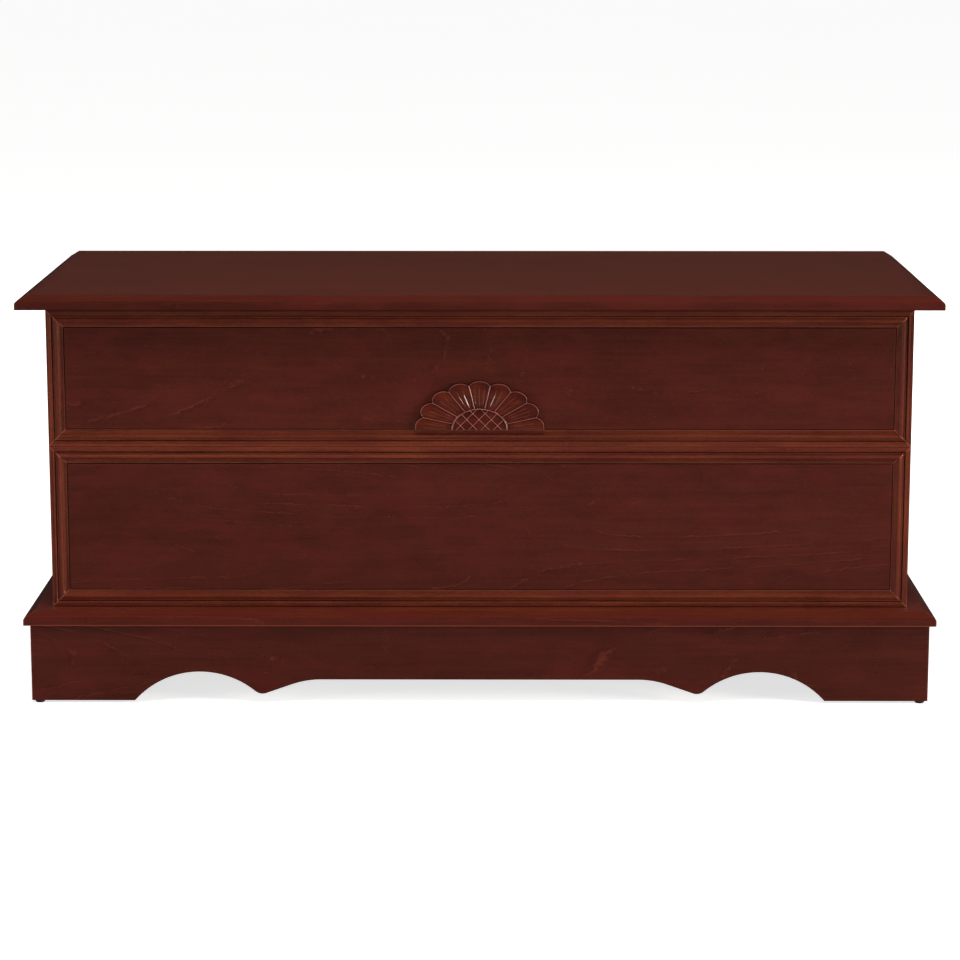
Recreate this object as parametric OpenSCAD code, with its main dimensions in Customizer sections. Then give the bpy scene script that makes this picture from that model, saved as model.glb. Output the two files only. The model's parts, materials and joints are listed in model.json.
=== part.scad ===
// A lift-lid blanket chest: panelled case on a scroll-cut plinth, cedar lined,
// with butt hinges along the back and a slotted stay at each end of the lid.
// Millimetres, +Z up. The front faces -Y and the feet stand on z = 0.

/* [Lid] */
// Width of the lid from nose to nose
lid_w = 1143; // [1040:1:1250]
// Depth of the lid from its front nose to its back edge
lid_d = 498; // [470:1:540]
// Thickness of the lid and of the base moulding
slab_t = 17; // [16:0.5:20]
// Width of the solid strips that edge the lid
lid_edge_w = 24; // [20:1:40]

/* [Case] */
// Height of the case walls
case_h = 380; // [360:1:420]
// How far the lid and the base moulding stand out past the case sides
side_overhang = 33; // [30:1:36]
// How far the lid's front nose stands out past the front board
front_overhang = 39; // [36:1:42]
// Thickness of the front and side boards
wall_t = 15; // [14:0.5:18]
// Thickness of the back and bottom boards
back_t = 12; // [10:0.5:14]
// Thickness of the cedar lining
lining_t = 4; // [3:0.5:6]
// Width of one cedar board
cedar_board_w = 88; // [70:1:120]

/* [Front frames] */
// Width of the moulding strips on the front
frame_w = 21; // [20:0.5:24]
// Height of the lower moulding frame
lower_frame_h = 205; // [190:1:220]
// Plain board left above the upper frame
frame_top_gap = 3.5; // [2:0.5:6]
// How far the fields inside the frames stand proud of the board
field_lift = 3; // [2:0.25:4]

/* [Carving] */
// Half the width of the sunburst
burst_r = 81; // [70:1:90]
// Its height as a share of its half width
burst_squash = 0.755; // [0.7:0.005:0.85]
// Number of petals
burst_petals = 9; // [7:2:11]
// Half the width of its centre
burst_core_r = 36; // [30:1:40]

/* [Plinth] */
// Height of the aprons, from the tips of the feet to the base moulding
apron_h = 98; // [90:1:110]
// Thickness of the aprons
apron_t = 18; // [16:0.5:20]
// How far the aprons stand back from the moulding's nose
apron_inset = 7.5; // [5:0.5:10]
// Height of the glides
glide_h = 4; // [3:0.5:6]
// Length of each foot along the front
foot_len = 130; // [120:1:140]
// Radius of the arch beside each foot
arch_r = 109; // [100:1:115]
// Rise of the arch above the tips of the feet
arch_rise = 37.2; // [34:0.1:40]
// Rise of the long middle stretch
middle_rise = 27.2; // [24:0.1:30]
// Radius of the rounded point between arch and middle
cusp_r = 14; // [10:1:16]
// Direction from the arch's centre to the point, from the vertical
cusp_angle = 39.8; // [38:0.1:42]
// Slope of the flank between the point and the middle
flank_angle = 19.4; // [18:0.1:22]

/* [Hinges and stays] */
// How far the lid opens
open_angle = 95; // [90:1:100]
// Length of a butt hinge
hinge_len = 64; // [56:2:76]
// Distance from the middle hinge to each outer one
hinge_spread = 400; // [360:5:430]
// Radius of the hinge barrel
barrel_r = 4.5; // [4:0.1:4.7]
// Distance from the hinge pin to the lid bracket's pivot, measured forward
stay_reach = 170; // [160:1:175]
// Depth of that pivot below the hinge pin
stay_drop = 22; // [21:0.5:23]
// Angle at the hinge pin between the pivot and the stud of a closed stay
stay_lead = 12; // [11.5:0.1:12.5]

/* [Hidden] */

// Colours
cherry = [0.30, 0.13, 0.10];
dark_cherry = [0.24, 0.09, 0.07];
cedar = [0.72, 0.47, 0.33];
plywood = [0.62, 0.49, 0.36];
brass = [0.70, 0.56, 0.32];
black_nylon = [0.08, 0.07, 0.07];
felt = [0.35, 0.22, 0.18];

// Gap that parts slide or turn in, and the overrun of a cutting tool
fit = 0.05;
cut = 1;

// Heights
apron_top = glide_h + apron_h;
case_z = apron_top + slab_t;
case_top = case_z + case_h;
lid_gap = 1;
lid_z = case_top + lid_gap;

// Depths: the model is centred between the lid's nose and the hinge barrels
barrel_offset = 5;
total_d = lid_d + barrel_offset + barrel_r;
nose_y = -total_d / 2;
back_y = nose_y + lid_d;
board_y = nose_y + front_overhang;
front_in_y = board_y + wall_t;
back_in_y = back_y - back_t;

// Widths
nose_x = lid_w / 2;
case_x = nose_x - side_overhang;
side_in_x = case_x - wall_t;

// The frames' upper edges, and the groove round each raised field
lower_z1 = case_z + lower_frame_h;
upper_z1 = case_top - frame_top_gap;
field_gap = 1.4;

// Inside faces of the lining, and the floor boards
floor_z = case_z + back_t;
rail_d = 22;
rail_h = 25;
rail_y = back_in_y - rail_d;
lining_x = side_in_x - lining_t;

// Base frame
base_rail_w = 70;
batten_x = 180;
batten_w = 40;
apron_x = nose_x - apron_inset;
apron_y = nose_y + apron_inset;
block_leg = 46;
block_lift = 12;
glide_r = 6;
glide_in = apron_t / 2;
apron_back_rise = 27;

// Hinges
leaf_t = 2;
leaf_depth = 27;
leaf_gap = 0.2;
hinge_y = back_y + barrel_offset;
hinge_z = case_top + lid_gap / 2;
pin_r = 2.2;
knuckle_share = 0.36;
knuckle_gap = 0.15;
leaf_end_gap = 0.1;
hinge_screw_y = back_y - 19.5;
hinge_screw_step = 21;
hinge_screw_len = 13;
screw_r = 1.7;
screw_head_r = 3.4;

// Stays. The stud and the pivot lie at one distance from the hinge pin, so the
// arm turns exactly half as far as the lid while the stud runs along its slot.
stay_r = sqrt(stay_reach * stay_reach + stay_drop * stay_drop);
pivot_a = -atan2(stay_drop, stay_reach);
stud_a = pivot_a - stay_lead;
arm_a = (pivot_a + stud_a) / 2 - 90;
pivot_y = hinge_y - stay_r * cos(pivot_a);
pivot_z = hinge_z + stay_r * sin(pivot_a);
stud_y = hinge_y - stay_r * cos(stud_a);
stud_z = hinge_z + stay_r * sin(stud_a);
slot_near = 2 * stay_r * sin(stay_lead / 2) - 0.5;
slot_far = 2 * stay_r * sin((stay_lead + open_angle) / 2) + 0.5;
arm_half_w = 7;
arm_t = 2;
arm_x = lining_x - 7.5;
stud_r = 2.5;
stud_plate_t = 2;
bracket_x = arm_x - 0.4 - arm_t;
bracket_half_w = 9;
flange_len = 40;
flange_reach = 28;
flange_top = lid_z - lining_t;
rivet_head_t = 1.4;
rivet_head_r = 4.5;

// ---------------------------------------------------------------- outlines

// Points along an arc about [cx, cy], from angle a0 to a1
function arc(cx, cy, r, a0, a1, n) =
    [for (i = [0:n]) let (a = a0 + (a1 - a0) * i / n) [cx + r * cos(a), cy + r * sin(a)]];

// Section of the lid's and base's edge: a blunt nose, a crisp arris, then a
// long bevel up to the flat. x runs inward from the nose and y runs up.
nose_flat = 6.5;
nose_round = 5;
nose_sweep = 72;
bevel_w = 13;
function edge_section(width) = concat(
    [[0, 0]],
    arc(nose_round, nose_flat, nose_round, 180, 180 - nose_sweep, 8),
    [[bevel_w, slab_t], [width, slab_t], [width, 0]]
);

// Section of the front moulding: a broad outer band, a groove, a narrow ledge,
// a canted step up to the crest, a steep ogee down and a thin flange beside the
// raised field. x runs inward from the outer edge, y stands proud.
band_w = 6.8;
band_lift = 4.8;
band_outer_r = 1.2;
band_inner_r = 1.8;
groove_lift = 1.7;
ledge_lift = 2.8;
step_lift = 4.5;
crest_x = 13.2;
crest_lift = 5;
ogee_x = 17.4;
ogee_lift = 1.2;
// The ogee is two equal arcs that meet halfway down
ogee_run = ogee_x - crest_x;
ogee_drop = crest_lift - ogee_lift;
ogee_sweep = 2 * atan(ogee_drop / ogee_run);
ogee_r = ogee_run / (2 * sin(ogee_sweep));
function frame_section() = concat(
    [[0, 0]],
    arc(band_outer_r, band_lift - band_outer_r, band_outer_r, 180, 90, 6),
    arc(band_w - band_inner_r, band_lift - band_inner_r, band_inner_r, 90, 0, 6),
    [[7.2, groove_lift], [7.8, groove_lift], [8.2, ledge_lift], [9.4, ledge_lift], [11.2, step_lift]],
    arc(crest_x, crest_lift - ogee_r, ogee_r, 90, 90 - ogee_sweep, 8),
    arc(ogee_x, ogee_lift + ogee_r, ogee_r, 270 - ogee_sweep, 270, 8),
    [[frame_w, ogee_lift], [frame_w, 0]]
);

// Lower edge of the front apron, from one foot to the other. x is measured
// from the middle and y from the tips of the feet.
foot_x = apron_x - foot_len;
foot_sweep = acos((arch_r - arch_rise) / arch_r);
arch_x = foot_x - arch_r * sin(foot_sweep);
arch_y = arch_rise - arch_r;
cusp_x = arch_x - (arch_r + cusp_r) * sin(cusp_angle);
cusp_y = arch_y + (arch_r + cusp_r) * cos(cusp_angle);
flank_drop = middle_rise - arch_r * (1 - cos(flank_angle)) - (cusp_y - cusp_r * cos(flank_angle));
shoulder_x = cusp_x - cusp_r * sin(flank_angle) - flank_drop / tan(flank_angle) - arch_r * sin(flank_angle);
function scroll_half() = concat(
    arc(arch_x, arch_y, arch_r, 90 - foot_sweep, 90 + cusp_angle, 28),
    arc(cusp_x, cusp_y, cusp_r, cusp_angle - 90, -90 - flank_angle, 8),
    arc(shoulder_x, middle_rise - arch_r, arch_r, 90 - flank_angle, 90, 8)
);
function reversed(points) = [for (i = [len(points) - 1:-1:0]) points[i]];
function flipped(points) = [for (p = points) [-p[0], p[1]]];

// Section of a lining: square-edged sheet with a V-groove between boards
groove = 1.2;
function board_section(across, t) =
    let (n = round(across / cedar_board_w), step = across / n)
    concat(
        [[0, 0], [across, 0], [across, t]],
        [for (i = [n - 1:-1:1], k = [1, 0, -1]) [i * step + k * groove, t - (k == 0 ? groove : 0)]],
        [[0, t]]
    );

// ------------------------------------------------------------------ helpers

module block(x0, x1, y0, y1, z0, z1)
    translate([x0, y0, z0]) cube([x1 - x0, y1 - y0, z1 - z0]);

// A round bar along X
module cross_pin(x0, x1, y, z, r)
    translate([x0, y, z]) rotate([0, 90, 0]) cylinder(r = r, h = x1 - x0, $fn = 48);

// A section swept along X: its x becomes y, and its y becomes z
module along_x(length) rotate([90, 0, 90]) linear_extrude(length, center = true) children();

module mirrored(on) mirror([on ? 1 : 0, 0, 0]) children();

// Plan of a strip that is mitred at both ends: long edge on y = 0, width w
module mitred(half, w) polygon([[-half, 0], [half, 0], [half - w, w], [-half + w, w]]);

// Plan of a left-hand strip, mitred in front and square at the back
module side_mitred(x, y, w) polygon([[x, y], [x + w, y + w], [x + w, back_y], [x, back_y]]);

// Countersunk screw, head at z = 0 and shank pointing up. grow opens it up
// into the hole that it sits in.
module screw(len, grow = 0) {
    cylinder(r1 = screw_head_r + grow, r2 = screw_r + grow, h = leaf_t, $fn = 32);
    cylinder(r = screw_r + grow, h = len + grow, $fn = 32);
}

// ------------------------------------------------------------ case and base

// Board that closes the front, mitred to the sides
// The fields are left proud where the board is cut back for the frames, with a
// fine groove between each field and its frame.
module raised_field(z0, z1) {
    half = case_x - frame_w - field_gap;
    edge = frame_w + field_gap;
    block(-half, half, board_y - field_lift, board_y + 1, z0 + edge, z1 - edge);
}

module front_panel() color(cherry) {
    translate([0, board_y, case_z]) linear_extrude(case_h) mitred(case_x, wall_t);
    raised_field(case_z, lower_z1);
    raised_field(lower_z1, upper_z1);
}

// Left side board. The right one is its mirror.
module side_panel() color(cherry) difference() {
    translate([0, 0, case_z]) linear_extrude(case_h) side_mitred(-case_x, board_y, wall_t);
    mirrored(true) each_stud_screw() screw(stud_screw_len, fit);
}

module back_panel() color(plywood) difference() {
    block(-side_in_x, side_in_x, back_in_y, back_y, case_z, case_top);
    case_mortises();
}

module bottom_panel() color(plywood)
    block(-side_in_x, side_in_x, front_in_y, back_in_y, case_z, floor_z);

// Rail behind the lining that takes the hinge screws
module hinge_rail() color(plywood) difference() {
    block(-lining_x, lining_x, rail_y, back_in_y, case_top - rail_h, case_top);
    case_mortises();
    each_hinge_screw() case_screw(fit);
}

module wall_lining(length, z1) color(cedar)
    rotate([90, 0, 0]) along_x(length) polygon(board_section(z1 - floor_z, lining_t));

module lining_front()
    translate([0, front_in_y, floor_z]) mirror([0, 1, 0]) wall_lining(2 * side_in_x, case_top);

module lining_back()
    translate([0, back_in_y, floor_z]) wall_lining(2 * side_in_x, case_top - rail_h);

// Left side lining, between the front and back ones
module side_lining() color(cedar) difference() {
    y0 = front_in_y + lining_t;
    y1 = back_in_y - lining_t;
    translate([-side_in_x, (y0 + y1) / 2, floor_z]) rotate([0, 0, 90]) wall_lining(y1 - y0, case_top);
    mirrored(true) each_stud_screw() screw(stud_screw_len, fit);
}

module lining_floor() color(cedar) {
    y0 = front_in_y + lining_t;
    y1 = back_in_y - lining_t;
    translate([0, y0, floor_z]) along_x(2 * lining_x) polygon(board_section(y1 - y0, lining_t));
}

// Strip of front moulding, mitred at both ends, its outer edge at z = 0
module frame_strip(length) color(dark_cherry) intersection() {
    rotate([90, 0, 0]) along_x(length) polygon(frame_section());
    rotate([90, 0, 0]) linear_extrude(frame_w) mitred(length / 2, frame_w);
}

module frame_rail(z, turn)
    translate([0, board_y, z]) rotate([0, turn, 0]) frame_strip(2 * case_x);

module frame_stile(z0, z1, side)
    translate([side * case_x, board_y, (z0 + z1) / 2]) rotate([0, -side * 90, 0]) frame_strip(z1 - z0);

// Carved half sunburst, built up in low relief: ground, petals, centre, rim.
// Angles are measured from the vertical.
burst_z = lower_z1 + frame_w + field_gap;
burst_pitch = 21.2;
burst_dip = 0.09;
burst_step = 1.5;
burst_end = 88;
petal_gap = 1.2;
function burst_point(r, a) = [r * sin(a), burst_squash * r * cos(a)];
function burst_arc(r, a0, a1, n) = [for (i = [0:n]) burst_point(r, a0 + (a1 - a0) * i / n)];
function off_petal(a) = a - burst_pitch * round(a / burst_pitch);
function scallop_r(a) = burst_r * (1 - burst_dip * pow(abs(2 * off_petal(a) / burst_pitch), 2.3));
function petal_section(a0, a1) = concat(
    [for (i = [0:10]) let (a = a0 + (a1 - a0) * i / 10) burst_point(scallop_r(a) - 2, a)],
    burst_arc(burst_core_r + 1.5, a1, a0, 6)
);
module relief(z0, z1) translate([0, -z0, 0]) rotate([90, 0, 0]) linear_extrude(z1 - z0) children();

module sunburst_carving() color(cherry) translate([0, board_y - field_lift, burst_z]) {
    last = (burst_petals - 1) / 2;
    relief(0, 3) polygon([for (a = [-90:burst_step:90]) burst_point(scallop_r(a), a)]);
    for (k = [-last:last]) {
        a0 = max(k * burst_pitch - burst_pitch / 2 + petal_gap, -burst_end);
        a1 = min(k * burst_pitch + burst_pitch / 2 - petal_gap, burst_end);
        relief(2, 5.5) polygon(petal_section(a0, a1));
    }
    relief(2, 6.5) polygon(burst_arc(burst_core_r - 1, -burst_end, burst_end, 36));
    relief(2, 7.5) polygon(concat(
        burst_arc(burst_core_r, -burst_end, burst_end, 36),
        burst_arc(burst_core_r - 3, burst_end, -burst_end, 36)
    ));
}

// Edge strip of the lid or the base across the front, mitred at both ends
module front_edge(z, width) translate([0, nose_y, z]) intersection() {
    along_x(lid_w) polygon(edge_section(width));
    linear_extrude(slab_t) mitred(nose_x, width);
}

// Edge strip along the left side, mitred in front and square at the back
module side_edge(z, width) intersection() {
    translate([-nose_x, nose_y + lid_d / 2, z]) rotate([0, 0, -90])
        along_x(lid_d) polygon(edge_section(width));
    translate([0, 0, z]) linear_extrude(slab_t) side_mitred(-nose_x, nose_y, width);
}

module base_moulding_front() color(cherry) front_edge(apron_top, base_rail_w);
module base_moulding_side() color(cherry) side_edge(apron_top, base_rail_w);

module base_back_rail() color(plywood)
    block(-nose_x + base_rail_w, nose_x - base_rail_w, back_y - base_rail_w, back_y, apron_top, case_z);

// Cross pieces that carry the bottom board between the base frame's rails
module bottom_battens() color(plywood) for (x = [-batten_x, batten_x])
    block(x - batten_w / 2, x + batten_w / 2, nose_y + base_rail_w, back_y - base_rail_w,
        apron_top, case_z);

// Scroll-cut front apron, mitred to the side aprons
module apron_front() color(cherry) translate([0, apron_y, glide_h]) intersection() {
    translate([0, apron_t, 0]) rotate([90, 0, 0]) linear_extrude(apron_t) polygon(concat(
        [[-apron_x, apron_h], [-apron_x, 0]],
        flipped(scroll_half()),
        reversed(scroll_half()),
        [[apron_x, 0], [apron_x, apron_h]]
    ));
    linear_extrude(apron_h) mitred(apron_x, apron_t);
}

// Side apron: the same arch beside each foot, with one straight run between
side_foot_len = 112;
module apron_side() color(cherry) intersection() {
    half = (back_y - apron_y) / 2;
    side_arch_y = half - side_foot_len - arch_r * sin(foot_sweep);
    foot_arc = arc(side_arch_y, arch_y, arch_r, 90 - foot_sweep, 90, 16);
    outline = concat(
        [[-half, apron_h], [-half, 0]], flipped(foot_arc), reversed(foot_arc), [[half, 0], [half, apron_h]]
    );
    translate([-apron_x, apron_y + half, glide_h]) rotate([90, 0, 90]) linear_extrude(apron_t)
        polygon(outline);
    translate([0, 0, glide_h]) linear_extrude(apron_h) side_mitred(-apron_x, apron_y, apron_t);
}

module apron_back() color(plywood) {
    half = apron_x - apron_t;
    block(-half, half, back_y - apron_t, back_y, glide_h + apron_back_rise, apron_top);
}

// Three-cornered blocks glued inside the plinth's corners
module corner_blocks() color(plywood) {
    inner_x = apron_x - apron_t;
    for (side = [-1, 1], end = [-1, 1]) {
        y = end < 0 ? apron_y + apron_t : back_y - apron_t;
        z0 = end < 0 ? glide_h + block_lift : glide_h + apron_back_rise;
        translate([side * inner_x, y, z0]) linear_extrude(apron_top - z0)
            polygon([[0, 0], [-side * block_leg, 0], [0, -end * block_leg]]);
    }
}

// Nail-on glides under the corners of the plinth
module glides() color(black_nylon) for (x = [-1, 1], y = [apron_y + glide_in, back_y - glide_in])
    translate([x * (apron_x - glide_in), y, 0]) {
        cylinder(r1 = glide_r - 1, r2 = glide_r, h = 1, $fn = 48);
        translate([0, 0, 1]) cylinder(r = glide_r, h = glide_h - 1, $fn = 48);
    }

// -------------------------------------------------------------------- lid

module lid_panel() color(cherry) difference() {
    block(-nose_x + lid_edge_w, nose_x - lid_edge_w, nose_y + lid_edge_w, back_y, lid_z, lid_z + slab_t);
    lid_mortises();
    each_hinge_screw() lid_screw(fit);
    each_stay_lid_screw() screw(stay_lid_screw_len, fit);
}

module lid_edge_front() color(cherry) front_edge(lid_z, lid_edge_w);
module lid_edge_side() color(cherry) side_edge(lid_z, lid_edge_w);

// Cedar sheet under the lid, let into the mouth of the case
lid_lining_gap = 5;
module lid_lining() color(cedar) difference() {
    y0 = front_in_y + lining_t + lid_lining_gap;
    y1 = rail_y - lid_lining_gap;
    translate([0, y0, lid_z]) mirror([0, 0, 1]) along_x(2 * (lining_x - lid_lining_gap))
        polygon(board_section(y1 - y0, lining_t));
    each_stay_lid_screw() screw(stay_lid_screw_len, fit);
}

// Soft discs that meet the top edges of the case
bumper_r = 5;
bumper_t = 0.9;
bumper_in = 40;
module bumper(x, y) translate([x, y, lid_z - bumper_t]) cylinder(r = bumper_r, h = bumper_t, $fn = 32);
module lid_bumpers() color(felt) for (side = [-1, 1]) {
    bumper(side * (case_x - bumper_in), board_y + wall_t / 2);
    bumper(side * (case_x - wall_t / 2), 0);
}

// ------------------------------------------------------------------ hinges

module each_hinge() for (x = [-hinge_spread, 0, hinge_spread]) translate([x, 0, 0]) children();

module leaf_screws() for (k = [-1, 0, 1]) translate([k * hinge_screw_step, hinge_screw_y, 0]) children();

module each_hinge_screw() each_hinge() leaf_screws() children();

// A hinge screw down into the case, and one up into the lid
module case_screw(grow = 0)
    translate([0, 0, hinge_z - leaf_gap / 2]) mirror([0, 0, 1]) screw(hinge_screw_len, grow);
module lid_screw(grow = 0) translate([0, 0, hinge_z + leaf_gap / 2]) screw(hinge_screw_len, grow);

// Shallow recess that a leaf lies in. It runs out through the back.
module leaf_recess(z0, z1) each_hinge()
    block(-hinge_len / 2, hinge_len / 2, back_y - leaf_depth, back_y + cut, z0, z1);

module case_mortises() leaf_recess(hinge_z - leaf_gap / 2 - leaf_t, case_top + cut);
module lid_mortises() leaf_recess(lid_z - cut, hinge_z + leaf_gap / 2 + leaf_t);

mid_knuckle = hinge_len * knuckle_share / 2;

module knuckle(x0, x1) cross_pin(x0, x1, hinge_y, hinge_z, barrel_r);
module pin_bore() cross_pin(-hinge_len, hinge_len, hinge_y, hinge_z, pin_r + fit);

// Leaf with its plate from z0 up, and a neck and knuckle over each span of xs
module leaf(z0, xs) difference() {
    union() {
        block(-hinge_len / 2, hinge_len / 2, back_y - leaf_depth, back_y - leaf_end_gap, z0, z0 + leaf_t);
        for (x = xs) {
            block(x[0], x[1], back_y - 1, hinge_y, z0, z0 + leaf_t);
            knuckle(x[0], x[1]);
        }
    }
    pin_bore();
}

module case_leaf(x) color(brass) translate([x, 0, 0]) difference() {
    leaf(hinge_z - leaf_gap / 2 - leaf_t, [[-hinge_len / 2, -mid_knuckle], [mid_knuckle, hinge_len / 2]]);
    leaf_screws() case_screw(fit);
}

module lid_leaf(x) color(brass) translate([x, 0, 0]) difference() {
    leaf(hinge_z + leaf_gap / 2, [[-mid_knuckle + knuckle_gap, mid_knuckle - knuckle_gap]]);
    leaf_screws() lid_screw(fit);
}

// Pin with a low button at each end of the barrel
module hinge_pin(x) color(brass) translate([x, hinge_y, hinge_z]) rotate([0, 90, 0]) {
    cylinder(r = pin_r, h = hinge_len + 0.4, center = true, $fn = 48);
    for (end = [-1, 1]) translate([0, 0, end * (hinge_len / 2 + 1.2)])
        cylinder(r = barrel_r - 0.7, h = 2, center = true, $fn = 48);
}

module hinge_case_screws() color(brass) each_hinge_screw() case_screw();
module hinge_lid_screws() color(brass) each_hinge_screw() lid_screw();

// ------------------------------------------------------------------- stays
// Each module draws the right-hand piece, and the left one is its mirror.

// A flat outline in the chest's side plane: its x becomes y, its y becomes z
module side_plate(x, t) translate([x, 0, 0]) rotate([90, 0, 90]) linear_extrude(t) children();

module stay_arm() color(brass) side_plate(arm_x, arm_t) translate([pivot_y, pivot_z]) rotate(180 - arm_a)
    difference() {
        union() {
            circle(r = arm_half_w, $fn = 48);
            translate([0, -arm_half_w]) square([slot_far + 2, 2 * arm_half_w]);
            translate([slot_far + 2, 0]) circle(r = arm_half_w, $fn = 48);
        }
        circle(r = stud_r + fit, $fn = 48);
        for (x = [slot_near, slot_far]) translate([x, 0]) circle(r = stud_r + 2 * fit, $fn = 48);
        translate([slot_near, -stud_r - 2 * fit]) square([slot_far - slot_near, 2 * (stud_r + 2 * fit)]);
    }

// Angle bracket under the lid: a flange screwed up, and an ear for the pivot
module stay_bracket() color(brass) difference() {
    union() {
        side_plate(bracket_x, arm_t) difference() {
            union() {
                translate([pivot_y, pivot_z]) circle(r = bracket_half_w, $fn = 48);
                translate([pivot_y - bracket_half_w, pivot_z])
                    square([2 * bracket_half_w, flange_top - pivot_z]);
            }
            translate([pivot_y, pivot_z]) circle(r = stud_r + fit, $fn = 48);
        }
        translate([bracket_x + arm_t - flange_reach, pivot_y - flange_len / 2, flange_top - arm_t])
            cube([flange_reach, flange_len, arm_t]);
    }
    each_stay_lid_screw() screw(stay_lid_screw_len, fit);
}

module stay_pivot_pin() color(brass) {
    cross_pin(bracket_x - 0.1 - rivet_head_t, bracket_x - 0.1, pivot_y, pivot_z, rivet_head_r);
    cross_pin(bracket_x - 0.2, arm_x + arm_t + 0.2, pivot_y, pivot_z, stud_r);
    cross_pin(arm_x + arm_t + 0.1, arm_x + arm_t + 0.1 + rivet_head_t, pivot_y, pivot_z, rivet_head_r);
}

// Wall plate with the headed stud that the arm's slot runs on
stud_plate_half = 11;
stud_screw_z = 17;
stud_plate_x = lining_x - stud_plate_t;
module stay_stud() color(brass) {
    difference() {
        side_plate(stud_plate_x, stud_plate_t) translate([stud_y, stud_z]) union() {
            translate([-stud_plate_half, -stud_screw_z]) square([2 * stud_plate_half, 2 * stud_screw_z]);
            for (k = [-1, 1]) translate([0, k * stud_screw_z]) circle(r = stud_plate_half, $fn = 48);
        }
        each_stud_screw() screw(stud_screw_len, fit);
    }
    cross_pin(arm_x - 0.2, stud_plate_x + 0.1, stud_y, stud_z, stud_r);
    cross_pin(arm_x - 0.2 - rivet_head_t, arm_x - 0.2, stud_y, stud_z, rivet_head_r);
}

// Screws through the wall plate into the lining and the side board
stud_screw_len = 14;
module each_stud_screw() for (k = [-1, 1])
    translate([stud_plate_x, stud_y, stud_z + k * stud_screw_z]) rotate([0, 90, 0]) children();

module stay_case_screws() color(brass) for (side = [false, true]) mirrored(side)
    each_stud_screw() screw(stud_screw_len);

// Screws through the flange and the lid's lining into the lid
stay_lid_screw_len = 15;
stay_lid_screw_step = 13;
module each_stay_lid_screw() for (side = [-1, 1], k = [-1, 1]) translate([
    side * (bracket_x - flange_reach / 2 + arm_t), pivot_y + k * stay_lid_screw_step, flange_top - leaf_t
]) children();

module stay_lid_screws() color(brass) each_stay_lid_screw() screw(stay_lid_screw_len);

// ------------------------------------------------------------------- nodes

front_panel();
side_panel();  // left_side_panel
mirrored(true) side_panel();  // right_side_panel
back_panel();
bottom_panel();
hinge_rail();
lining_front();
lining_back();
side_lining();  // lining_left
mirrored(true) side_lining();  // lining_right
lining_floor();
frame_rail(upper_z1, 180);  // upper_frame_top_rail
frame_rail(lower_z1, 0);  // upper_frame_bottom_rail
frame_stile(lower_z1, upper_z1, -1);  // upper_frame_left_stile
frame_stile(lower_z1, upper_z1, 1);  // upper_frame_right_stile
frame_rail(lower_z1, 180);  // lower_frame_top_rail
frame_rail(case_z, 0);  // lower_frame_bottom_rail
frame_stile(case_z, lower_z1, -1);  // lower_frame_left_stile
frame_stile(case_z, lower_z1, 1);  // lower_frame_right_stile
sunburst_carving();
base_moulding_front();
base_moulding_side();  // base_moulding_left
mirrored(true) base_moulding_side();  // base_moulding_right
base_back_rail();
bottom_battens();
apron_front();
apron_side();  // apron_left
mirrored(true) apron_side();  // apron_right
apron_back();
corner_blocks();
glides();
lid_panel();
lid_edge_front();
lid_edge_side();  // lid_edge_left
mirrored(true) lid_edge_side();  // lid_edge_right
lid_lining();
lid_bumpers();
case_leaf(-hinge_spread);  // hinge_left_case_leaf
case_leaf(0);  // hinge_centre_case_leaf
case_leaf(hinge_spread);  // hinge_right_case_leaf
lid_leaf(-hinge_spread);  // hinge_left_lid_leaf
lid_leaf(0);  // hinge_centre_lid_leaf
lid_leaf(hinge_spread);  // hinge_right_lid_leaf
hinge_pin(-hinge_spread);  // hinge_left_pin
hinge_pin(0);  // hinge_centre_pin
hinge_pin(hinge_spread);  // hinge_right_pin
hinge_case_screws();
hinge_lid_screws();
mirrored(true) stay_arm();  // stay_left_arm
stay_arm();  // stay_right_arm
mirrored(true) stay_bracket();  // stay_left_lid_bracket
stay_bracket();  // stay_right_lid_bracket
mirrored(true) stay_pivot_pin();  // stay_left_pivot_pin
stay_pivot_pin();  // stay_right_pivot_pin
mirrored(true) stay_stud();  // stay_left_case_stud
stay_stud();  // stay_right_case_stud
stay_case_screws();
stay_lid_screws();
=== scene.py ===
import json
import math

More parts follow.
